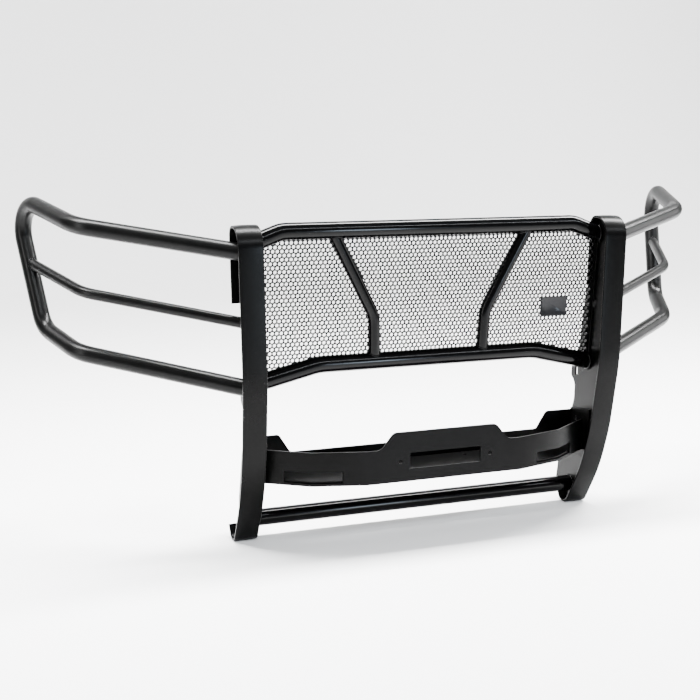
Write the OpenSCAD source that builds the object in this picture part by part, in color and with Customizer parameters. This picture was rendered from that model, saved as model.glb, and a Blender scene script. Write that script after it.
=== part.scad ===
// Front grille guard for a pickup truck: two wrapped uprights, a centre grille of
// tube and punched sheet, a winch tray, a cross tube and a tubular guard each side.
// X runs across the vehicle, Y runs back towards it and Z is up. The guard is
// symmetric about X = 0. The origin is at the centre of its box, at the bottom.

/* [Uprights] */
// Distance between the middles of the two wrap bands, at mid height
upright_spacing = 1000; // [980:5:1020]
// Outward lean of each upright, in degrees
upright_lean = 1; // [0.5:0.1:1.5]
// Height of an upright
upright_h = 834; // [830:1:840]
// Thickness of the upright web plates
web_t = 6; // [5:0.5:8]
// Distance of each web inwards from the middle of its band
web_inset = 10; // [6:1:12]
// Width of the band that wraps each web
band_w = 63; // [58:1:68]
// Thickness of the wrap band
band_t = 6; // [5:0.5:8]
// Depth of the upright at its top, front face to rear strip
upright_top_d = 88; // [84:1:92]
// Height at which the rear strip of the band ends
strip_end_z = 640; // [620:5:660]

/* [Tubes] */
// Outside diameter of the main tubes
tube_d = 44.5; // [42:0.5:48]
// Wall of the main tubes
tube_wall = 2.5; // [2:0.5:3]
// Outside diameter of the middle guard tubes
small_tube_d = 28.6; // [25.4:0.1:32]
// Outside diameter of the grille braces
brace_d = 31.8; // [28:0.1:34]
// Wall of the braces and the middle guard tubes
small_tube_wall = 2; // [1.5:0.5:2.5]

/* [Centre grille] */
// Forward tilt of the grille, in degrees
grille_tilt = 3.5; // [2:0.5:4]
// Height of the middle of the top tube
top_tube_z = 815; // [804:1:820]
// Height of the middle of the lower tube
lower_tube_z = 470; // [460:1:480]
// Thickness of the punched sheet
sheet_t = 3; // [2:0.5:4]
// Diameter of the punched holes
hole_d = 9; // [6:0.5:9]
// Distance between neighbouring punched holes
hole_pitch = 12; // [12:0.5:16]

/* [Winch tray] */
// Thickness of the tray plates
tray_t = 6; // [5:0.5:8]
// Height of the underside of the tray
tray_z = 172; // [165:1:180]
// Height of the front plate at its sides
tray_front_h = 88; // [80:1:92]
// Height of the front plate in its raised middle
tray_mid_h = 131; // [126:1:134]
// Spacing of the winch foot holes across the vehicle
winch_x = 254; // [254:1:254]
// Spacing of the winch foot holes along the vehicle
winch_y = 114.3; // [114.3:0.1:114.3]
// Diameter of the winch foot holes
winch_hole_d = 11; // [10.5:0.5:12]
// Spacing of the fairlead bolt holes
fairlead_x = 254; // [254:1:254]
// Diameter of the fairlead bolt holes
fairlead_hole_d = 11; // [10.5:0.5:12]

/* [Vehicle mounting] */
// Diameter of the holes that take the vehicle's frame bolts
frame_hole_d = 13.5; // [12:0.5:14]

/* [Hidden] */
$fn = 48;
huge = 3000;
black = [0.07, 0.07, 0.075];
badge_grey = [0.12, 0.12, 0.13];

// Upright outline, as (Y, Z)
lean_z = upright_h / 2;
front_y = -98;
rear_y = front_y + upright_top_d;
top_rear_r = 28;
top_front_r = 54;
toe_r = 30;
sweep_r = 500;
front_knees = [[front_y, 440], [-68, 250], [-28, 125]];
toe = [64, -27];
toe_end = [100, 34];

// Whole-guard placement. The guard is drawn with Y = 0 near the wrap bands, and
// moved so that the origin is at the middle of its box, at the bottom. The lowest
// point is the inner edge of the band's round toe, which the lean drops a little.
mid_y = 173.3;
toe_low = corner_centre(front_knees[2], toe, toe_end, toe_r).y - toe_r;
lift = band_w / 2 * sin(upright_lean) - lean_z - (toe_low - lean_z) * cos(upright_lean);

// Grille. It is drawn in a flat frame of its own, X across and Z up, whose Y = 0
// is the middle of the tubes and sheet, and tilted with its top forwards.
grille_mid = [-18.5, 640];
top_bend_x = 411;
top_end = [520, 774];
lower_bend_x = 309;
lower_end = [520, 420];
brace_top_x = 278;
brace_r = 90;
brace_knee = [159, 590];
brace_foot_x = 155;
edge_bar_t = 5;
edge_bar_y = [-8, 2];
edge_bar_z = [404, 785];
hole_margin = hole_d / 2 + 1.6;
hole_overlap = 2.5;
row_pitch = hole_pitch * sqrt(3) / 2;

// Tray, with its front plate's plan as (X, Y)
tray_front_y = -126;
tray_plan = [[217, tray_front_y], [356, -88], [500, 13]];
tray_back_y = 55;
tray_back_h = 56;
ear_h = 105;
ear_x = [365, 396];
ear_r = 12;

// Slot near each end of the front plate: its middle in X, and its foot above the tray
side_slot = [346, 7];
side_slot_l = 138;

floor_z = tray_z + 6;
end_plate_y = [-35, 64];
end_plate_z = [150, 294];
end_plate_rear_z = 280;

// Holes through the end plate and web for the vehicle's frame bolts, and an
// adjusting slot in the web above them
frame_hole_y = 33;
frame_hole_z = [204, 256];
web_slot = [52, 388];
slot_w = 11;
slot_l = 14;
winch_mid_y = -33;
fairlead_z = 226;
fairlead_open = [200, 42];

// Guard at each side
hoop_points = [
    [480, -50, 762], [885, 172, 828], [1000, 492, 891],
    [951, 360, 546], [884, 210, 501], [480, -18, 418]
];
hoop_radii = [110, 72, 75, 110];
mid_points = [[480, -44, 586], [869, 195, 657], [975, 424, 715]];
mid_radii = [110];

cross_y = 62;
cross_z = 57;

// ---------------------------------------------------------------- helpers

function unit(v) = v / norm(v);

function turn(a, b, c) = acos(min(1, max(-1, unit(b - a) * unit(c - b))));

function any_normal(v) = unit(cross(v, abs(v.z) < 0.9 ? [0, 0, 1] : [1, 0, 0]));

// Corners of a flat path, rounded to a radius r
function arc_steps(angle) = max(2, ceil(abs(angle) / 6));

function turn_side(a, b, c) = sign((b - a).x * (c - b).y - (b - a).y * (c - b).x);

function corner_start(a, b, c, r) = b - unit(b - a) * r * tan(turn(a, b, c) / 2);

function corner_centre(a, b, c, r) =
    let (u = unit(b - a))
    corner_start(a, b, c, r) + turn_side(a, b, c) * r * [-u.y, u.x];

function corner(a, b, c, r) =
    let (
        s = turn_side(a, b, c),
        t = turn(a, b, c),
        start = corner_start(a, b, c, r),
        centre = corner_centre(a, b, c, r),
        n = arc_steps(t),
        a0 = atan2(start.y - centre.y, start.x - centre.x)
    )
    [for (i = [0:n]) centre + r * [cos(a0 + s * t * i / n), sin(a0 + s * t * i / n)]];

function rounded_path(p, r) = [
    p[0],
    for (i = [1:len(p) - 2]) each corner(p[i - 1], p[i], p[i + 1], r[i - 1]),
    p[len(p) - 1]
];

// A path moved to its left by t
function path_dir(p, i) =
    unit(
        (i < len(p) - 1 ? unit(p[i + 1] - p[i]) : [0, 0])
        + (i > 0 ? unit(p[i] - p[i - 1]) : [0, 0])
    );

function path_stretch(p, i) =
    i == 0 || i == len(p) - 1 ? 1 : 1 / cos(turn(p[i - 1], p[i], p[i + 1]) / 2);

function left_of(p, t) = [
    for (i = [0:len(p) - 1])
        let (d = path_dir(p, i))
        p[i] + t * path_stretch(p, i) * [-d.y, d.x]
];

function reversed(p) = [for (i = [len(p) - 1:-1:0]) p[i]];

// A sheet of thickness t whose one side follows the path
module strip(p, t) polygon(concat(p, reversed(left_of(p, t))));

module guard_frame() translate([0, -mid_y, lift]) children();

module mirrored(side) {
    if (side > 0) children();
    else mirror([1, 0, 0]) children();
}

// The frame of the right upright: X = 0 is the middle of its band
module upright_frame()
    translate([upright_spacing / 2, 0, lean_z])
        rotate([0, upright_lean, 0])
            translate([0, 0, -lean_z])
                children();

// A flat outline in (Y, Z), made into a plate that spans X = x0 to x0 + w
module plate_x(x0, w) translate([x0, 0, 0]) rotate([90, 0, 90]) linear_extrude(w) children();

// A round bar along X, from x0 to x0 + w
module bar_x(x0, w, d, y, z) translate([x0, y, z]) rotate([0, 90, 0]) cylinder(d = d, h = w);

// Everything on the outer side of the upright web, offset by x from its middle
module outboard(x) upright_frame() translate([x - web_inset, -huge / 2, -huge / 2]) cube(huge);

// Everything on the inner side of the upright web, offset by x from its middle
module inboard(x) upright_frame() translate([x - web_inset - huge, -huge / 2, -huge / 2]) cube(huge);

module axes_at(o, ex, ez)
    let (ey = cross(ez, ex))
    multmatrix([
        [ex.x, ey.x, ez.x, o.x],
        [ex.y, ey.y, ez.y, o.y],
        [ex.z, ey.z, ez.z, o.z],
        [0, 0, 0, 1]
    ])
        children();

// A tube's section. The straights are thicker than the bends by the lap on each
// side, and run into them by the overrun, so that the pieces join cleanly.
lap = 0.02;
overrun = 0.6;

module ring(d, wall, grow = 0) difference() {
    circle(d = d + 2 * grow);
    circle(d = d - 2 * wall - 2 * grow);
}

// One bent tube. The radii are those of its middle line at each inner point.
module bent_tube(p, radii, d, wall) {
    n = len(p);
    setback = [
        0,
        for (i = [1:n - 2]) radii[i - 1] * tan(turn(p[i - 1], p[i], p[i + 1]) / 2),
        0
    ];
    for (i = [0:n - 2])
        let (
            u = unit(p[i + 1] - p[i]),
            before = setback[i] - (i > 0 ? overrun : 0),
            after = setback[i + 1] - (i < n - 2 ? overrun : 0)
        )
        axes_at(p[i] + u * before, any_normal(u), u)
            linear_extrude(norm(p[i + 1] - p[i]) - before - after)
                ring(d, wall, lap);
    for (i = [1:n - 2])
        let (
            u = unit(p[i] - p[i - 1]),
            axis = unit(cross(u, p[i + 1] - p[i])),
            inwards = cross(axis, u),
            centre = p[i] - u * setback[i] + inwards * radii[i - 1]
        )
        axes_at(centre, -inwards, axis)
            rotate_extrude(angle = turn(p[i - 1], p[i], p[i + 1]))
                translate([radii[i - 1], 0])
                    ring(d, wall);
}

// A solid bar between two points, to cope other tubes with
module solid_bar(a, b, d)
    axes_at(a, any_normal(b - a), unit(b - a))
        cylinder(d = d, h = norm(b - a));

// ---------------------------------------------------------------- uprights

// Outer line of the wrap band, from the foot of the rear strip to the toe
band_line = rounded_path(
    concat(
        [[rear_y, strip_end_z], [rear_y, upright_h], [front_y, upright_h]],
        front_knees,
        [toe, toe_end]
    ),
    [top_rear_r, top_front_r, sweep_r, sweep_r, sweep_r, toe_r]
);

// Rear edge of the web, from the toe up to the foot of the rear strip
web_rear = concat(
    [[106, 46]],
    rounded_path(
        [
            [138, 46], [131, 97], [58, 306], [58, 354], [80, 372],
            [78, 398], [44, 452], [20, 634], [rear_y - 4, 634]
        ],
        [14, 40, 30, 14, 12, 40, 10]
    )
);

module web_outline() polygon(concat(left_of(band_line, band_t), web_rear));

module web_plate() translate([-web_inset, 0, 0]) difference() {
    plate_x(-web_t / 2, web_t) web_outline();
    for (z = frame_hole_z) bar_x(-web_t, 2 * web_t, frame_hole_d, frame_hole_y, z);
    for (z = [-slot_l / 2, slot_l / 2]) bar_x(-web_t, 2 * web_t, slot_w, web_slot.x, web_slot.y + z);
    translate([-web_t, web_slot.x - slot_w / 2, web_slot.y - slot_l / 2]) cube([2 * web_t, slot_w, slot_l]);
}

module upright_web(side) color(black) guard_frame() mirrored(side) upright_frame() web_plate();

module upright_band(side) color(black) guard_frame() mirrored(side) upright_frame()
    plate_x(-band_w / 2, band_w) strip(band_line, band_t);

module upright_web_left() upright_web(-1);
module upright_web_right() upright_web(1);
module upright_band_left() upright_band(-1);
module upright_band_right() upright_band(1);

// ---------------------------------------------------------------- side guards

module wing_hoop(side) color(black) guard_frame() mirrored(side) difference() {
    bent_tube(hoop_points, hoop_radii, tube_d, tube_wall);
    inboard(web_t / 2);
}

module wing_mid_tube(side) color(black) guard_frame() mirrored(side) difference() {
    bent_tube(mid_points, mid_radii, small_tube_d, small_tube_wall);
    inboard(web_t / 2);
    solid_bar(hoop_points[2], hoop_points[3], tube_d);
}

module wing_hoop_left() wing_hoop(-1);
module wing_hoop_right() wing_hoop(1);
module wing_mid_tube_left() wing_mid_tube(-1);
module wing_mid_tube_right() wing_mid_tube(1);

// ---------------------------------------------------------------- centre grille

module between_uprights(gap) difference() {
    children();
    outboard(-gap);
    mirror([1, 0, 0]) outboard(-gap);
}

module grille_frame()
    translate([0, grille_mid.x, grille_mid.y])
        rotate([grille_tilt, 0, 0])
            translate([0, 0, -grille_mid.y])
                children();

// A tube across the grille, level in the middle and bent down at both ends
module grille_tube(bend_x, z, end, r) color(black) guard_frame()
    between_uprights(web_t / 2 + edge_bar_t) grille_frame()
        bent_tube(
            [[-end.x, 0, end.y], [-bend_x, 0, z], [bend_x, 0, z], [end.x, 0, end.y]],
            [r, r], tube_d, tube_wall
        );

module grille_top_tube() grille_tube(top_bend_x, top_tube_z, top_end, 80);
module grille_lower_tube() grille_tube(lower_bend_x, lower_tube_z, lower_end, 150);

module grille_brace(side) color(black) guard_frame() grille_frame() mirrored(side) difference() {
    bent_tube(
        [[brace_top_x, 0, top_tube_z], [brace_knee.x, 0, brace_knee.y], [brace_foot_x, 0, lower_tube_z]],
        [brace_r], brace_d, small_tube_wall
    );
    bar_x(0, upright_spacing / 2, tube_d, 0, top_tube_z);
    bar_x(0, upright_spacing / 2, tube_d, 0, lower_tube_z);
}

module grille_brace_left() grille_brace(-1);
module grille_brace_right() grille_brace(1);

// Edges of the punched panels, as heights of the tubes' edges and the brace's middle
function below_bent_tube(x, z, bend_x, end, gap) =
    let (slope = (end.y - z) / (end.x - bend_x))
    min(z, z + slope * (abs(x) - bend_x)) - gap * (abs(x) > bend_x ? sqrt(1 + slope * slope) : 1);

function panel_top(x, inset) = below_bent_tube(x, top_tube_z, top_bend_x, top_end, tube_d / 2 + inset);

function panel_bottom(x, inset) =
    below_bent_tube(x, lower_tube_z, lower_bend_x, lower_end, -tube_d / 2 - inset);

brace_turn = atan2(brace_top_x - brace_knee.x, top_tube_z - brace_knee.y);

function brace_x(z) = brace_knee.x + max(0, z - brace_knee.y) * tan(brace_turn);

// The brace's side in X at a height: side is -1 for its inner side, 1 for its outer one
function brace_side_x(z, side) =
    brace_x(z) + side * brace_d / 2 / (z > brace_knee.y ? cos(brace_turn) : 1);

// The edge of a panel along the brace, from the lower tube to the top one
function brace_edge(side) =
    let (z = panel_top(0, 0) + side * brace_d / 2 * sin(brace_turn))
    left_of(
        rounded_path(
            [[brace_foot_x, panel_bottom(0, 0)], brace_knee, [brace_x(z), z]],
            [brace_r]
        ),
        -side * brace_d / 2
    );

function upright_x(z) =
    upright_spacing / 2 - web_inset - web_t / 2 - edge_bar_t + (z - lean_z) * tan(upright_lean);

module middle_outline()
    polygon(concat(brace_edge(-1), [for (p = reversed(brace_edge(-1))) [-p.x, p.y]]));

module side_outline() polygon(concat(
    brace_edge(1),
    [
        [top_bend_x, panel_top(0, 0)],
        [top_end.x, panel_top(top_end.x, 0)],
        [lower_end.x, panel_bottom(lower_end.x, 0)],
        [lower_bend_x, panel_bottom(0, 0)]
    ]
));

// Holes of a staggered pattern. The panels are cut from larger punched sheets, so the
// tubes' edges cut through holes, but none is cut by the edge bar.
hole_rows = ceil((panel_top(0, 0) - panel_bottom(500, 0)) / row_pitch) + 1;
hole_columns = ceil(upright_spacing / hole_pitch / 2);

function hole_fits(x, z, is_side) =
    z < panel_top(x, -hole_overlap)
    && z > panel_bottom(x, -hole_overlap)
    && (is_side
        ? x > brace_side_x(z, 1) - hole_overlap && x < upright_x(z) - hole_margin
        : abs(x) < brace_side_x(z, -1) + hole_overlap);

module punched_holes(is_side)
    for (row = [0:hole_rows], column = [-hole_columns:hole_columns])
        let (x = (column + (row % 2) / 2) * hole_pitch, z = panel_bottom(500, hole_margin) + row * row_pitch)
        if (hole_fits(x, z, is_side)) translate([x, z]) circle(d = hole_d);

module panel_sheet() grille_frame()
    translate([0, sheet_t / 2, 0]) rotate([90, 0, 0]) linear_extrude(sheet_t) children();

module punched_side(side) color(black) guard_frame() mirrored(side) difference() {
    panel_sheet() difference() {
        side_outline();
        punched_holes(true);
    }
    outboard(-web_t / 2 - edge_bar_t);
}

module punched_panel_left() punched_side(-1);
module punched_panel_right() punched_side(1);

module punched_panel_middle() color(black) guard_frame() panel_sheet() difference() {
    middle_outline();
    punched_holes(false);
}

module grille_badge() color(badge_grey) guard_frame() grille_frame()
    translate([366, -sheet_t / 2, 590]) rotate([90, 0, 0]) linear_extrude(2) square([80, 52], center = true);

module grille_edge_bar(side) color(black) guard_frame() mirrored(side) difference() {
    grille_frame() translate([0, edge_bar_y[0], edge_bar_z[0]])
        cube([upright_spacing, edge_bar_y[1] - edge_bar_y[0], edge_bar_z[1] - edge_bar_z[0]]);
    outboard(-web_t / 2);
    inboard(-web_t / 2 - edge_bar_t);
}

module grille_edge_bar_left() grille_edge_bar(-1);
module grille_edge_bar_right() grille_edge_bar(1);

// ---------------------------------------------------------------- winch tray

function mirrored_plan(p) = concat([for (q = reversed(p)) [-q.x, q.y]], p);

module tray_front_silhouette() {
    half_w = upright_spacing / 2;
    right = rounded_path(
        [[half_w, tray_front_h], [180, tray_front_h], [145, tray_mid_h], [0, tray_mid_h]],
        [26, 20]
    );
    translate([0, tray_z]) difference() {
        polygon(concat(
            [[-half_w, 0], [half_w, 0]],
            right,
            [for (i = [len(right) - 2:-1:0]) [-right[i].x, right[i].y]]
        ));
        translate([0, fairlead_z - tray_z]) square(fairlead_open, center = true);
        for (s = [-1, 1]) {
            translate([s * fairlead_x / 2, fairlead_z - tray_z]) circle(d = fairlead_hole_d);
            translate([s * side_slot.x - side_slot_l / 2, side_slot.y]) square([side_slot_l, 30]);
        }
    }
}

module tray_front_plate() color(black) guard_frame() between_uprights(web_t / 2 + tray_t) intersection() {
    translate([0, 0, tray_z]) linear_extrude(tray_mid_h) strip(mirrored_plan(tray_plan), tray_t);
    translate([0, huge / 2, 0]) rotate([90, 0, 0]) linear_extrude(huge) tray_front_silhouette();
}

module tray_floor() color(black) guard_frame() between_uprights(web_t / 2 + tray_t) difference() {
    translate([0, 0, floor_z]) linear_extrude(tray_t) polygon(concat(
        left_of(mirrored_plan(tray_plan), tray_t),
        [[upright_spacing / 2 + 10, tray_back_y], [-upright_spacing / 2 - 10, tray_back_y]]
    ));
    for (x = [-1, 1], y = [-1, 1])
        translate([x * winch_x / 2, winch_mid_y + y * winch_y / 2, tray_z])
            cylinder(d = winch_hole_d, h = 3 * tray_t);
}

module tray_back_plate() color(black) guard_frame() between_uprights(web_t / 2 + tray_t)
    translate([0, tray_back_y + tray_t, tray_z]) rotate([90, 0, 0]) linear_extrude(tray_t) {
        half_w = upright_spacing / 2;
        right = concat(
            [[half_w, 0]],
            rounded_path(
                [[half_w, ear_h], [ear_x[1], ear_h], [ear_x[0], tray_back_h], [0, tray_back_h]],
                [ear_r, ear_r]
            )
        );
        polygon(concat(right, [for (i = [len(right) - 2:-1:0]) [-right[i].x, right[i].y]]));
    }

module tray_end_plate(side) color(black) guard_frame() mirrored(side) upright_frame()
    translate([-web_inset - web_t / 2 - tray_t, 0, 0]) difference() {
        plate_x(0, tray_t) polygon([
            [end_plate_y[0], end_plate_z[0]], [end_plate_y[1], end_plate_z[0]],
            [end_plate_y[1], end_plate_rear_z], [end_plate_y[0], end_plate_z[1]]
        ]);
        for (z = frame_hole_z) bar_x(-tray_t, 3 * tray_t, frame_hole_d, frame_hole_y, z);
    }

module tray_end_plate_left() tray_end_plate(-1);
module tray_end_plate_right() tray_end_plate(1);

module cross_tube() color(black) guard_frame() between_uprights(web_t / 2) difference() {
    bar_x(-upright_spacing, 2 * upright_spacing, tube_d, cross_y, cross_z);
    bar_x(-upright_spacing, 2 * upright_spacing, tube_d - 2 * tube_wall, cross_y, cross_z);
}

upright_web_left();
upright_web_right();
upright_band_left();
upright_band_right();
wing_hoop_left();
wing_hoop_right();
wing_mid_tube_left();
wing_mid_tube_right();
grille_top_tube();
grille_lower_tube();
grille_brace_left();
grille_brace_right();
punched_panel_left();
punched_panel_middle();
punched_panel_right();
grille_edge_bar_left();
grille_edge_bar_right();
grille_badge();
tray_front_plate();
tray_floor();
tray_back_plate();
tray_end_plate_left();
tray_end_plate_right();
cross_tube();
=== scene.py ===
"""Looks of the front grille guard: smooth tubes and bands, softened plate edges, weld
beads and powder-coat materials, all in the CAD part's frame, in metres."""

import math

import bmesh
import bpy
from mathutils import Euler, Matrix, Vector


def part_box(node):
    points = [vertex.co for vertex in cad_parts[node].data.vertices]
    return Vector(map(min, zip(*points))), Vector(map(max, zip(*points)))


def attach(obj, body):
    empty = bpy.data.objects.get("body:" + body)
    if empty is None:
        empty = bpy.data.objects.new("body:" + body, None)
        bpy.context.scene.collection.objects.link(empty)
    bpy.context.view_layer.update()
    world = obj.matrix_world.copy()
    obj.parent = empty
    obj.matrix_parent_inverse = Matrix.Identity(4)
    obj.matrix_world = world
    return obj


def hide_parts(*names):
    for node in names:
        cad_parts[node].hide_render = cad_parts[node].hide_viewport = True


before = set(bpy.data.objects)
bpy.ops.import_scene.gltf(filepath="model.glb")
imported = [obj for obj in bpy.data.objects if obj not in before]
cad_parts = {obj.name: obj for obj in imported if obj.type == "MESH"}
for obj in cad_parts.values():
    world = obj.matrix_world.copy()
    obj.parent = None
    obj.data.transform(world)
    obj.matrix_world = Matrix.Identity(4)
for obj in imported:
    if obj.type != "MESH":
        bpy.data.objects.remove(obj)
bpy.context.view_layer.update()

MM = 0.001
SIDES = ((-1, "left"), (1, "right"))

# The same sizes as the CAD part, in millimetres.
MID_Y = 173.3
LIFT = -0.988
HALF_SPACING = 500.0
LEAN = math.radians(1.0)
LEAN_Z = 417.0
WEB_T = 6.0
WEB_INSET = 10.0
BAND_W = 63.0
BAND_T = 6.0
BAND_EDGE_R = 1.8
BAND_CROWN = 1.0
TUBE_D = 44.5
SMALL_TUBE_D = 28.6
BRACE_D = 31.8
GRILLE_TILT = math.radians(3.5)
GRILLE_Y = -18.5
GRILLE_Z = 640.0
TOP_TUBE_Z = 815.0
LOWER_TUBE_Z = 470.0
EDGE_BAR_T = 5.0
CROSS_Y = 62.0
CROSS_Z = 57.0

BAND_LINE = [(-10, 640), (-10, 834), (-98, 834), (-98, 440), (-68, 250), (-28, 125), (64, -27), (100, 34)]
BAND_RADII = [28, 54, 500, 500, 500, 30]
HOOP = [
    (480, -50, 762), (885, 172, 828), (1000, 492, 891),
    (951, 360, 546), (884, 210, 501), (480, -18, 418),
]
HOOP_RADII = [110, 72, 75, 110]
MID_TUBE = [(480, -44, 586), (869, 195, 657), (975, 424, 715)]
MID_TUBE_RADII = [110]
TOP_TUBE = [(-520, 0, 774), (-411, 0, TOP_TUBE_Z), (411, 0, TOP_TUBE_Z), (520, 0, 774)]
TOP_TUBE_RADII = [80, 80]
LOWER_TUBE = [(-520, 0, 420), (-309, 0, LOWER_TUBE_Z), (309, 0, LOWER_TUBE_Z), (520, 0, 420)]
LOWER_TUBE_RADII = [150, 150]
BRACE = [(278, 0, TOP_TUBE_Z), (159, 0, 590), (155, 0, LOWER_TUBE_Z)]
BRACE_RADII = [90]

WELD_R = 2.6
SMALL_WELD_R = 2.1
WELD_STEP = 1.1
WELD_RIPPLE = 0.11
WELD_RIPPLE_PITCH = 3.4

# Seams of the short beads, as (y, z) ends in an upright's frame.
BAND_SEAMS = [((-92.5, 775), (-92.5, 450)), ((-16, 650), (-16, 800))]
BAND_STITCH = (30.0, 55.0)
TRAY_SEAMS = [((-35, 155), (-35, 288)), ((64, 155), (64, 275))]
TRAY_STITCH = (32.0, 34.0)

BADGE_CORNER_R = 6.0
# The badge's outline, from its back over the rim to its face, as (inset, y) rings.
BADGE_RINGS = ((0, 0.9), (0, -0.5), (0.5, -1.0), (2.0, -1.0), (2.6, -0.4))

# Camera: place in metres, then turns in degrees and the lens in millimetres.
CAMERA_PLACE = (-1.2741, -2.867 - MID_Y * MM, 1.0534)
CAMERA_PITCH = 10.265
CAMERA_YAW = 20.209
CAMERA_LENS = 61.65


# ------------------------------------------------------------------ places

def in_upright(p):
    """A point of the right upright's own frame, in the guard's drawing."""
    x, z = p[0], p[2] - LEAN_Z
    return Vector((
        HALF_SPACING + x * math.cos(LEAN) + z * math.sin(LEAN),
        p[1],
        LEAN_Z - x * math.sin(LEAN) + z * math.cos(LEAN),
    ))


def in_grille(p):
    """A point of the flat grille, in the guard's drawing."""
    y, z = p[1], p[2] - GRILLE_Z
    return Vector((
        p[0],
        GRILLE_Y + y * math.cos(GRILLE_TILT) - z * math.sin(GRILLE_TILT),
        GRILLE_Z + y * math.sin(GRILLE_TILT) + z * math.cos(GRILLE_TILT),
    ))


def flip(p, side):
    """The same point on the left (side -1) or the right (side 1)."""
    return Vector((side * p[0], p[1], p[2]))


# ------------------------------------------------------------------ paths and sweeps

def rounded(points, radii, step=3.0):
    """A 3-D path whose inner corners are rounded, with an arc point every step degrees."""
    p = [Vector(q) for q in points]
    out = [p[0]]
    for i in range(1, len(p) - 1):
        u = (p[i] - p[i - 1]).normalized()
        v = (p[i + 1] - p[i]).normalized()
        turn = u.angle(v)
        r = radii[i - 1]
        start = p[i] - u * r * math.tan(turn / 2)
        axis = u.cross(v).normalized()
        centre = start + axis.cross(u) * r
        n = max(2, math.ceil(math.degrees(turn) / step))
        for k in range(n + 1):
            out.append(centre + Matrix.Rotation(turn * k / n, 3, axis) @ (start - centre))
    out.append(p[-1])
    return out


def subdivided(path, gap):
    """The same path, with no step longer than gap."""
    out = [path[0]]
    for a, b in zip(path, path[1:]):
        n = max(1, math.ceil((b - a).length / gap))
        out += [a + (b - a) * k / n for k in range(1, n + 1)]
    return out


def carried_frames(path, start, closed=False):
    """The side direction at each point of a path, carried along it without twisting."""
    n = len(path)
    frames = []
    side = start
    for i in range(n):
        a = path[i - 1] if i or closed else path[0]
        b = path[(i + 1) % n] if i < n - 1 or closed else path[-1]
        t = (b - a).normalized()
        side = (side - t * side.dot(t)).normalized()
        frames.append((t, side))
    return frames


def sweep(name, path, section, start, closed=False, widths=None):
    """A section of (side, up) points, swept along a path. Widths scale it at each point."""
    verts, faces = [], []
    n, m = len(path), len(section)
    for i, (t, side) in enumerate(carried_frames(path, start, closed)):
        up = t.cross(side)
        stretch = 1.0
        if 0 < i < n - 1:
            u = (path[i] - path[i - 1]).normalized()
            stretch = 1.0 / max(0.5, u.dot(t))
        w = widths[i] if widths else 1.0
        verts += [path[i] + side * a * w + up * b * w * stretch for a, b in section]
    for i in range(n if closed else n - 1):
        j = (i + 1) % n
        for k in range(m):
            q = (k + 1) % m
            faces.append((i * m + k, i * m + q, j * m + q, j * m + k))
    if not closed:
        faces.append(tuple(range(m))[::-1])
        faces.append(tuple((n - 1) * m + k for k in range(m)))
    mesh = bpy.data.meshes.new(name)
    mesh.from_pydata([v * MM for v in verts], [], faces)
    bm = bmesh.new()
    bm.from_mesh(mesh)
    bmesh.ops.recalc_face_normals(bm, faces=bm.faces)
    bm.to_mesh(mesh)
    bm.free()
    obj = bpy.data.objects.new(name, mesh)
    bpy.context.scene.collection.objects.link(obj)
    smooth(obj)
    return obj


def smooth(obj, angle=35.0):
    """Smooth shading, but for edges sharper than angle degrees."""
    obj.data.shade_smooth()
    obj.data.set_sharp_from_angle(angle=math.radians(angle))


def circle(d, n=48):
    angles = [2 * math.pi * k / n for k in range(n)]
    return [(d / 2 * math.cos(a), d / 2 * math.sin(a)) for a in angles]


def bar_section(w, t, edge, crown=0.0, steps=5):
    """A flat bar's section with rounded edges. It spans up = 0 to t, and its outer
    face, at up = 0, is crowned."""
    pts = []
    corners = ((w / 2 - edge, edge, -90), (w / 2 - edge, t - edge, 0),
               (-w / 2 + edge, t - edge, 90), (-w / 2 + edge, edge, 180))
    for cx, cy, a0 in corners:
        for k in range(steps + 1):
            a = math.radians(a0 + 90 * k / steps)
            pts.append((cx + edge * math.cos(a), cy + edge * math.sin(a)))
    if crown:
        for k in range(1, 8):
            x = -w / 2 + edge + (w - 2 * edge) * k / 8
            pts.append((x, -crown * (1 - (2 * x / (w - 2 * edge)) ** 2)))
    return pts


def placed(path):
    """A path of the guard's drawing, moved into the row frame, still in millimetres."""
    return [Vector((p[0], p[1] - MID_Y, p[2] + LIFT)) for p in path]


# ------------------------------------------------------------------ materials

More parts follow.
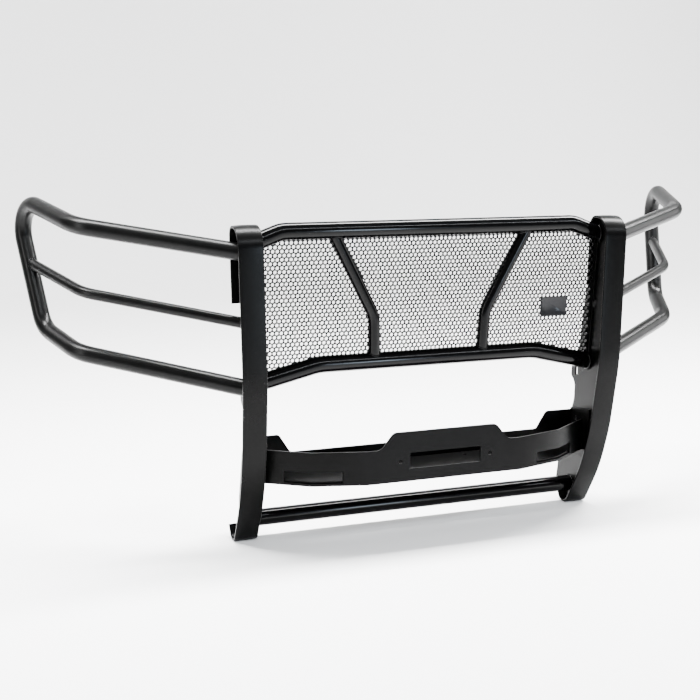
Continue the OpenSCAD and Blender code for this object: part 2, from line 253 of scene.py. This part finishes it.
def powder_coat(name, colour, roughness, peel, peel_scale=420.0, wear=0.5, specular=0.1):
    """Black powder coat: fine orange peel, patches of uneven gloss, and faint dust."""
    mat = bpy.data.materials.new(name)
    mat.use_nodes = True
    nt = mat.node_tree
    nodes, links = nt.nodes, nt.links
    bsdf = nodes["Principled BSDF"]
    bsdf.inputs["Metallic"].default_value = 0.0
    bsdf.inputs["IOR"].default_value = 1.5
    bsdf.inputs["Specular IOR Level"].default_value = specular
    coords = nodes.new("ShaderNodeTexCoord")

    def noise(scale, detail, rough=0.5):
        n = nodes.new("ShaderNodeTexNoise")
        n.inputs["Scale"].default_value = scale
        n.inputs["Detail"].default_value = detail
        n.inputs["Roughness"].default_value = rough
        links.new(coords.outputs["Object"], n.inputs["Vector"])
        return n

    patches = noise(6.0, 4.0, 0.6)
    gloss = nodes.new("ShaderNodeMapRange")
    gloss.inputs["From Min"].default_value = 0.3
    gloss.inputs["From Max"].default_value = 0.7
    gloss.inputs["To Min"].default_value = roughness - 0.04
    gloss.inputs["To Max"].default_value = roughness + 0.06
    links.new(patches.outputs["Fac"], gloss.inputs["Value"])
    links.new(gloss.outputs["Result"], bsdf.inputs["Roughness"])

    dust = noise(38.0, 6.0, 0.65)
    tint = nodes.new("ShaderNodeValToRGB")
    tint.color_ramp.elements[0].position = 0.35
    tint.color_ramp.elements[0].color = (*colour, 1.0)
    tint.color_ramp.elements[1].position = 0.9
    tint.color_ramp.elements[1].color = (*[c + 0.0016 * wear for c in colour], 1.0)
    links.new(dust.outputs["Fac"], tint.inputs["Fac"])
    links.new(tint.outputs["Color"], bsdf.inputs["Base Color"])

    fine = noise(peel_scale, 2.0)
    bump = nodes.new("ShaderNodeBump")
    bump.inputs["Strength"].default_value = peel
    bump.inputs["Distance"].default_value = 0.0004
    links.new(fine.outputs["Fac"], bump.inputs["Height"])
    links.new(bump.outputs["Normal"], bsdf.inputs["Normal"])
    return mat


def floor_paint():
    """Plain matt white, with a trace of unevenness."""
    mat = bpy.data.materials.new("studio_floor")
    mat.use_nodes = True
    nt = mat.node_tree
    bsdf = nt.nodes["Principled BSDF"]
    bsdf.inputs["Roughness"].default_value = 0.9
    coords = nt.nodes.new("ShaderNodeTexCoord")
    grain = nt.nodes.new("ShaderNodeTexNoise")
    grain.inputs["Scale"].default_value = 3.0
    grain.inputs["Detail"].default_value = 3.0
    ramp = nt.nodes.new("ShaderNodeValToRGB")
    ramp.color_ramp.elements[0].color = (0.86, 0.86, 0.86, 1.0)
    ramp.color_ramp.elements[1].color = (0.88, 0.88, 0.88, 1.0)
    nt.links.new(coords.outputs["Object"], grain.inputs["Vector"])
    nt.links.new(grain.outputs["Fac"], ramp.inputs["Fac"])
    nt.links.new(ramp.outputs["Color"], bsdf.inputs["Base Color"])
    return mat


MATERIALS = {
    "upright_black": powder_coat("upright_black", (0.0004, 0.0004, 0.0004), 0.30, 0.20, specular=0.06),
    "tube_black": powder_coat("tube_black", (0.0004, 0.0004, 0.0005), 0.12, 0.06),
    "panel_black": powder_coat("panel_black", (0.0005, 0.0005, 0.0005), 0.38, 0.20),
    "wing_black": powder_coat("wing_black", (0.0009, 0.0009, 0.0009), 0.30, 0.12),
    "tray_black": powder_coat("tray_black", (0.0004, 0.0004, 0.0004), 0.36, 0.24, specular=0.05),
    "badge": powder_coat("badge", (0.010, 0.010, 0.011), 0.20, 0.05, 900.0, 0.2),
}


def dress(obj, slot, *replaced, finish=None):
    """Gives a new piece its finish, lets it ride, and hides the nodes it stands for."""
    obj.data.materials.clear()
    obj.data.materials.append(MATERIALS[finish or slot])
    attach(obj, "root")
    if replaced:
        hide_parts(*replaced)
    return obj


# ------------------------------------------------------------------ plates

def softened(node, slot, width=1.2, segments=3):
    """A copy of a CAD plate with its sharp edges rounded."""
    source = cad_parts[node]
    obj = bpy.data.objects.new(node + "_skin", source.data.copy())
    bpy.context.scene.collection.objects.link(obj)
    bm = bmesh.new()
    bm.from_mesh(obj.data)
    bmesh.ops.remove_doubles(bm, verts=bm.verts, dist=1e-5)
    bmesh.ops.dissolve_limit(bm, angle_limit=math.radians(0.5), verts=bm.verts, edges=bm.edges)
    bm.to_mesh(obj.data)
    bm.free()
    obj.data.shade_smooth()
    bevel = obj.modifiers.new("edges", "BEVEL")
    bevel.width = width * MM
    bevel.segments = segments
    bevel.limit_method = "ANGLE"
    bevel.angle_limit = math.radians(40.0)
    bevel.harden_normals = False
    normals = obj.modifiers.new("normals", "WEIGHTED_NORMAL")
    normals.keep_sharp = True
    return dress(obj, slot, node)


for side, end in SIDES:
    softened("upright_web_" + end, "upright_black")
    softened("tray_end_plate_" + end, "tray_black")
    softened("grille_edge_bar_" + end, "upright_black", 0.8)
for plate in ("tray_front_plate", "tray_floor", "tray_back_plate"):
    softened(plate, "tray_black")


# ------------------------------------------------------------------ bands and tubes

def band(side, end):
    """The flat bar that wraps a web. The band line runs along its outer face."""
    line = rounded([(0, y, z) for y, z in BAND_LINE], BAND_RADII, 1.5)
    path = placed([flip(in_upright(p), side) for p in subdivided(line, 40.0)])
    outwards = flip(Vector((math.cos(LEAN), 0, -math.sin(LEAN))), side)
    section = bar_section(BAND_W, BAND_T, BAND_EDGE_R, BAND_CROWN)
    up = (path[1] - path[0]).normalized().cross(outwards)
    sign = 1 if up.y < 0 else -1
    obj = sweep("band_" + end, path, [(a, sign * b) for a, b in section], outwards)
    return dress(obj, "upright_black", "upright_band_" + end)


def tube(name, points, radii, d, replaced, finish="tube_black"):
    """A round tube along a rounded line, in place of the CAD node."""
    path = subdivided(rounded(points, radii), 60.0)
    t = (path[1] - path[0]).normalized()
    start = t.cross(Vector((0, 0, 1)) if abs(t.z) < 0.9 else Vector((1, 0, 0))).normalized()
    obj = sweep(name, placed(path), circle(d), start)
    return dress(obj, "tube_black", replaced, finish=finish)


def web_plane(side, x_from_web):
    """A point of a plane along an upright's web, and the plane's normal."""
    point = flip(in_upright((x_from_web - WEB_INSET, 0, LEAN_Z)), side)
    normal = flip(Vector((math.cos(LEAN), 0, -math.sin(LEAN))), side)
    return point, normal


def cut_to_plane(points, plane, first=True):
    """Moves a path's end along its line onto a plane."""
    point, normal = plane
    p = [Vector(q) for q in points]
    a, b = (0, 1) if first else (-1, -2)
    u = p[a] - p[b]
    p[a] = p[b] + u * ((point - p[b]).dot(normal) / u.dot(normal))
    return p


for side, end in SIDES:
    band(side, end)
    plane = web_plane(side, 0.0)
    hoop = [flip(Vector(p), side) for p in HOOP]
    hoop = cut_to_plane(cut_to_plane(hoop, plane), plane, False)
    tube("hoop_" + end, hoop, HOOP_RADII, TUBE_D, "wing_hoop_" + end, "wing_black")
    middle = cut_to_plane([flip(Vector(p), side) for p in MID_TUBE], plane)
    tube("mid_tube_" + end, middle, MID_TUBE_RADII, SMALL_TUBE_D, "wing_mid_tube_" + end, "wing_black")
    knee = [in_grille(flip(Vector(p), side)) for p in BRACE]
    tube("brace_" + end, knee, BRACE_RADII, BRACE_D, "grille_brace_" + end)


def across(name, points, radii, gap, node):
    """A tube from one upright to the other."""
    p = cut_to_plane(points, web_plane(-1, -gap))
    p = cut_to_plane(p, web_plane(1, -gap), False)
    tube(name, p, radii, TUBE_D, node)
    return p


BAR_FACE = WEB_T / 2 + EDGE_BAR_T
top_line = across("top_tube", [in_grille(p) for p in TOP_TUBE], TOP_TUBE_RADII, BAR_FACE, "grille_top_tube")
lower_line = across("lower_tube", [in_grille(p) for p in LOWER_TUBE], LOWER_TUBE_RADII, BAR_FACE,
                    "grille_lower_tube")
cross_line = across("cross", [(-600, CROSS_Y, CROSS_Z), (600, CROSS_Y, CROSS_Z)], [], WEB_T / 2, "cross_tube")


# ------------------------------------------------------------------ weld beads

def bead(name, path, r, closed):
    """A weld bead: a rippled cord of metal along a seam."""
    path = subdivided(path + [path[0]] if closed else path, WELD_STEP)
    if closed:
        path = path[:-1]
    run = 0.0
    widths = []
    for i, p in enumerate(path):
        run += (p - path[i - 1]).length if i else 0.0
        ripple = 1.0 + WELD_RIPPLE * math.sin(run * 2 * math.pi / WELD_RIPPLE_PITCH)
        ends = 1.0 if closed else min(1.0, 0.45 + 0.25 * min(i, len(path) - 1 - i))
        widths.append(ripple * ends)
    t = (path[1] - path[0]).normalized()
    start = t.cross(Vector((0.31, 0.52, 0.79)).normalized()).normalized()
    return sweep(name, placed(path), circle(2 * r, 10), start, closed, widths)


def around_tube(end, inner, r, hit, n=72):
    """Where a tube's surface meets something: one point for each angle round it."""
    u = (end - inner).normalized()
    e1 = u.cross(Vector((0, 0, 1)) if abs(u.z) < 0.9 else Vector((1, 0, 0))).normalized()
    e2 = u.cross(e1)
    ring = []
    for k in range(n):
        a = 2 * math.pi * k / n
        out = (e1 * math.cos(a) + e2 * math.sin(a)) * r
        ring.append(inner + out + u * hit(inner + out, u))
    return ring


def onto_plane(plane):
    """Distance along u from p to the plane."""
    point, normal = plane
    return lambda p, u: (point - p).dot(normal) / u.dot(normal)


def onto_tube(a, b, r):
    """Distance along u at which the line from p first meets the tube from a to b."""
    axis = (b - a).normalized()

    def hit(p, u):
        w = p - a
        w = w - axis * w.dot(axis)
        v = u - axis * u.dot(axis)
        k, h = v.dot(v), v.dot(w)
        root = max(0.0, h * h - k * (w.dot(w) - r * r))
        return (-h - math.sqrt(root)) / k
    return hit


def joined(name, objs, slot):
    """One piece from several beads."""
    bm = bmesh.new()
    for o in objs:
        bm.from_mesh(o.data)
        bpy.data.objects.remove(o)
    mesh = bpy.data.meshes.new(name)
    bm.to_mesh(mesh)
    bm.free()
    obj = bpy.data.objects.new(name, mesh)
    bpy.context.scene.collection.objects.link(obj)
    smooth(obj, 60.0)
    return dress(obj, slot)


grille_welds = []
for side, end in SIDES:
    outer = web_plane(side, WEB_T / 2)
    hoop = [flip(Vector(p), side) for p in HOOP]
    mid = [flip(Vector(p), side) for p in MID_TUBE]
    beads = [
        bead("w", around_tube(hoop[0], hoop[1], TUBE_D / 2, onto_plane(outer)), WELD_R, True),
        bead("w", around_tube(hoop[-1], hoop[-2], TUBE_D / 2, onto_plane(outer)), WELD_R, True),
        bead("w", around_tube(mid[0], mid[1], SMALL_TUBE_D / 2, onto_plane(outer)), SMALL_WELD_R, True),
        bead("w", around_tube(mid[2], mid[1], SMALL_TUBE_D / 2, onto_tube(hoop[2], hoop[3], TUBE_D / 2)),
             SMALL_WELD_R, True),
    ]
    joined("wing_welds_" + end, beads, "tube_black")

    bar = web_plane(side, -BAR_FACE)
    inner = web_plane(side, -WEB_T / 2)
    a, b = (0, 1) if side < 0 else (-1, -2)
    grille_welds += [
        bead("w", around_tube(top_line[a], top_line[b], TUBE_D / 2, onto_plane(bar)), WELD_R, True),
        bead("w", around_tube(lower_line[a], lower_line[b], TUBE_D / 2, onto_plane(bar)), WELD_R, True),
        bead("w", around_tube(cross_line[a], cross_line[b], TUBE_D / 2, onto_plane(inner)), WELD_R, True),
    ]
    knee = [in_grille(flip(Vector(p), side)) for p in BRACE]
    tops = [in_grille(p) for p in ((-300, 0, TOP_TUBE_Z), (300, 0, TOP_TUBE_Z))]
    lows = [in_grille(p) for p in ((-300, 0, LOWER_TUBE_Z), (300, 0, LOWER_TUBE_Z))]
    grille_welds += [
        bead("w", around_tube(knee[0], knee[1], BRACE_D / 2, onto_tube(*tops, TUBE_D / 2)),
             SMALL_WELD_R, True),
        bead("w", around_tube(knee[2], knee[1], BRACE_D / 2, onto_tube(*lows, TUBE_D / 2)),
             SMALL_WELD_R, True),
    ]
joined("grille_welds", grille_welds, "tube_black")


def stitches(seam, length, gap, r):
    """Short beads at even distances along a straight seam."""
    a, b = seam
    u = (b - a).normalized()
    n = max(1, round((b - a).length / (length + gap)))
    pitch = (b - a).length / n
    return [
        bead("w", [a + u * (pitch * k + gap / 2), a + u * (pitch * (k + 1) - gap / 2)], r, False)
        for k in range(n)
    ]


def stitched_seams(side, x, seams, stitch):
    """Short beads on one face of a web, at x in the upright frame."""
    beads = []
    for start, stop in seams:
        a = flip(in_upright((x, *start)), side)
        b = flip(in_upright((x, *stop)), side)
        beads += stitches((a, b), *stitch, SMALL_WELD_R)
    return beads


for side, end in SIDES:
    inner_face, outer_face = -WEB_INSET - WEB_T / 2, -WEB_INSET + WEB_T / 2
    beads = stitched_seams(side, inner_face, BAND_SEAMS, BAND_STITCH)
    beads += stitched_seams(side, outer_face, BAND_SEAMS, BAND_STITCH)
    beads += stitched_seams(side, inner_face, TRAY_SEAMS, TRAY_STITCH)
    joined("upright_welds_" + end, beads, "upright_black")


# ------------------------------------------------------------------ badge and panels

def badge():
    """A blank emblem plate with rounded corners and a raised rim."""
    lo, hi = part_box("grille_badge")
    centre = (lo + hi) / 2 / MM
    w, h = (hi.x - lo.x) / MM, (hi.z - lo.z) / MM
    turn = Matrix.Rotation(GRILLE_TILT, 3, "X")
    bm = bmesh.new()

    def outline(inset, y):
        r = BADGE_CORNER_R
        pts = []
        for sx, sz, a0 in ((1, 1, 0), (-1, 1, 90), (-1, -1, 180), (1, -1, 270)):
            for k in range(7):
                a = math.radians(a0 + 15 * k)
                x = sx * (w / 2 - r) + (r - inset) * math.cos(a)
                z = sz * (h / 2 - r) + (r - inset) * math.sin(a)
                pts.append(bm.verts.new((centre + turn @ Vector((x, y, z))) * MM))
        return pts

    rings = [outline(*q) for q in BADGE_RINGS]
    for a, b in zip(rings, rings[1:]):
        for k in range(len(a)):
            j = (k + 1) % len(a)
            bm.faces.new((a[k], a[j], b[j], b[k]))
    bm.faces.new(rings[0])
    bm.faces.new(rings[-1])
    bmesh.ops.recalc_face_normals(bm, faces=bm.faces)
    mesh = bpy.data.meshes.new("badge_plate")
    bm.to_mesh(mesh)
    bm.free()
    obj = bpy.data.objects.new("badge_plate", mesh)
    bpy.context.scene.collection.objects.link(obj)
    smooth(obj, 50.0)
    dress(obj, "badge", "grille_badge")


badge()
for node in ("punched_panel_left", "punched_panel_middle", "punched_panel_right"):
    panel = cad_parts[node]
    panel.data.materials.clear()
    panel.data.materials.append(MATERIALS["panel_black"])


# ------------------------------------------------------------------ studio

def area_light(name, place, target, size, power, colour=(1.0, 1.0, 1.0)):
    """A soft rectangular light that faces its target."""
    data = bpy.data.lights.new(name, "AREA")
    data.shape = "RECTANGLE"
    data.size, data.size_y = size
    data.energy = power
    data.color = colour
    obj = bpy.data.objects.new(name, data)
    bpy.context.scene.collection.objects.link(obj)
    obj.location = place
    obj.rotation_mode = "QUATERNION"
    obj.rotation_quaternion = (Vector(target) - Vector(place)).to_track_quat("-Z", "Y")


def sweep_stage():
    """A pale floor that curves up into a wall behind the guard."""
    half, front, bend_y, bend_r, top = 30.0, -30.0, 4.5, 3.5, 14.0
    profile = [(front, 0.0)]
    for k in range(25):
        a = math.radians(90.0 * k / 24)
        profile.append((bend_y + bend_r * math.sin(a), bend_r * (1 - math.cos(a))))
    profile.append((bend_y + bend_r, top))
    verts = [(x, y, z) for y, z in profile for x in (-half, half)]
    faces = [(2 * k, 2 * k + 1, 2 * k + 3, 2 * k + 2) for k in range(len(profile) - 1)]
    mesh = bpy.data.meshes.new("studio_floor")
    mesh.from_pydata(verts, [], faces)
    mesh.shade_smooth()
    mesh.materials.append(floor_paint())
    obj = bpy.data.objects.new("studio_floor", mesh)
    bpy.context.scene.collection.objects.link(obj)


sweep_stage()

world = bpy.data.worlds.new("studio")
bpy.context.scene.world = world
world.use_nodes = True
world.node_tree.nodes["Background"].inputs["Color"].default_value = (1.0, 1.0, 1.0, 1.0)
world.node_tree.nodes["Background"].inputs["Strength"].default_value = 0.4

area_light("overhead_strip", (0.6, 0.2, 2.9), (0.6, 0.15, 0.5), (6.0, 0.36), 1300.0)
area_light("front_strip", (0.9, -3.0, 2.9), (0.6, 0.0, 0.6), (6.0, 0.10), 200.0, (0.92, 0.96, 1.0))
area_light("left_strip", (-3.4, -1.0, 1.4), (0.0, 0.0, 0.5), (0.12, 2.4), 60.0)
area_light("right_box", (4.6, -0.6, 1.5), (0.6, 0.0, 0.6), (2.0, 2.2), 130.0)
area_light("band_glow", (1.5, -4.6, 0.5), (-0.4, 0.0, 0.6), (0.45, 1.0), 75.0, (0.72, 0.86, 1.0))
area_light("wall_left", (-4.0, 2.5, 4.2), (-2.0, 8.0, 1.0), (4.0, 1.0), 700.0)
area_light("wall_right", (5.0, 2.5, 4.2), (4.5, 8.0, 1.0), (4.0, 1.0), 700.0)

camera = bpy.data.objects.new("camera", bpy.data.cameras.new("camera"))
camera.data.sensor_width = 36.0
camera.data.lens = CAMERA_LENS
camera.location = CAMERA_PLACE
camera.rotation_euler = Euler((math.radians(90.0 - CAMERA_PITCH), 0.0, math.radians(-CAMERA_YAW)))
bpy.context.scene.collection.objects.link(camera)
bpy.context.scene.camera = camera
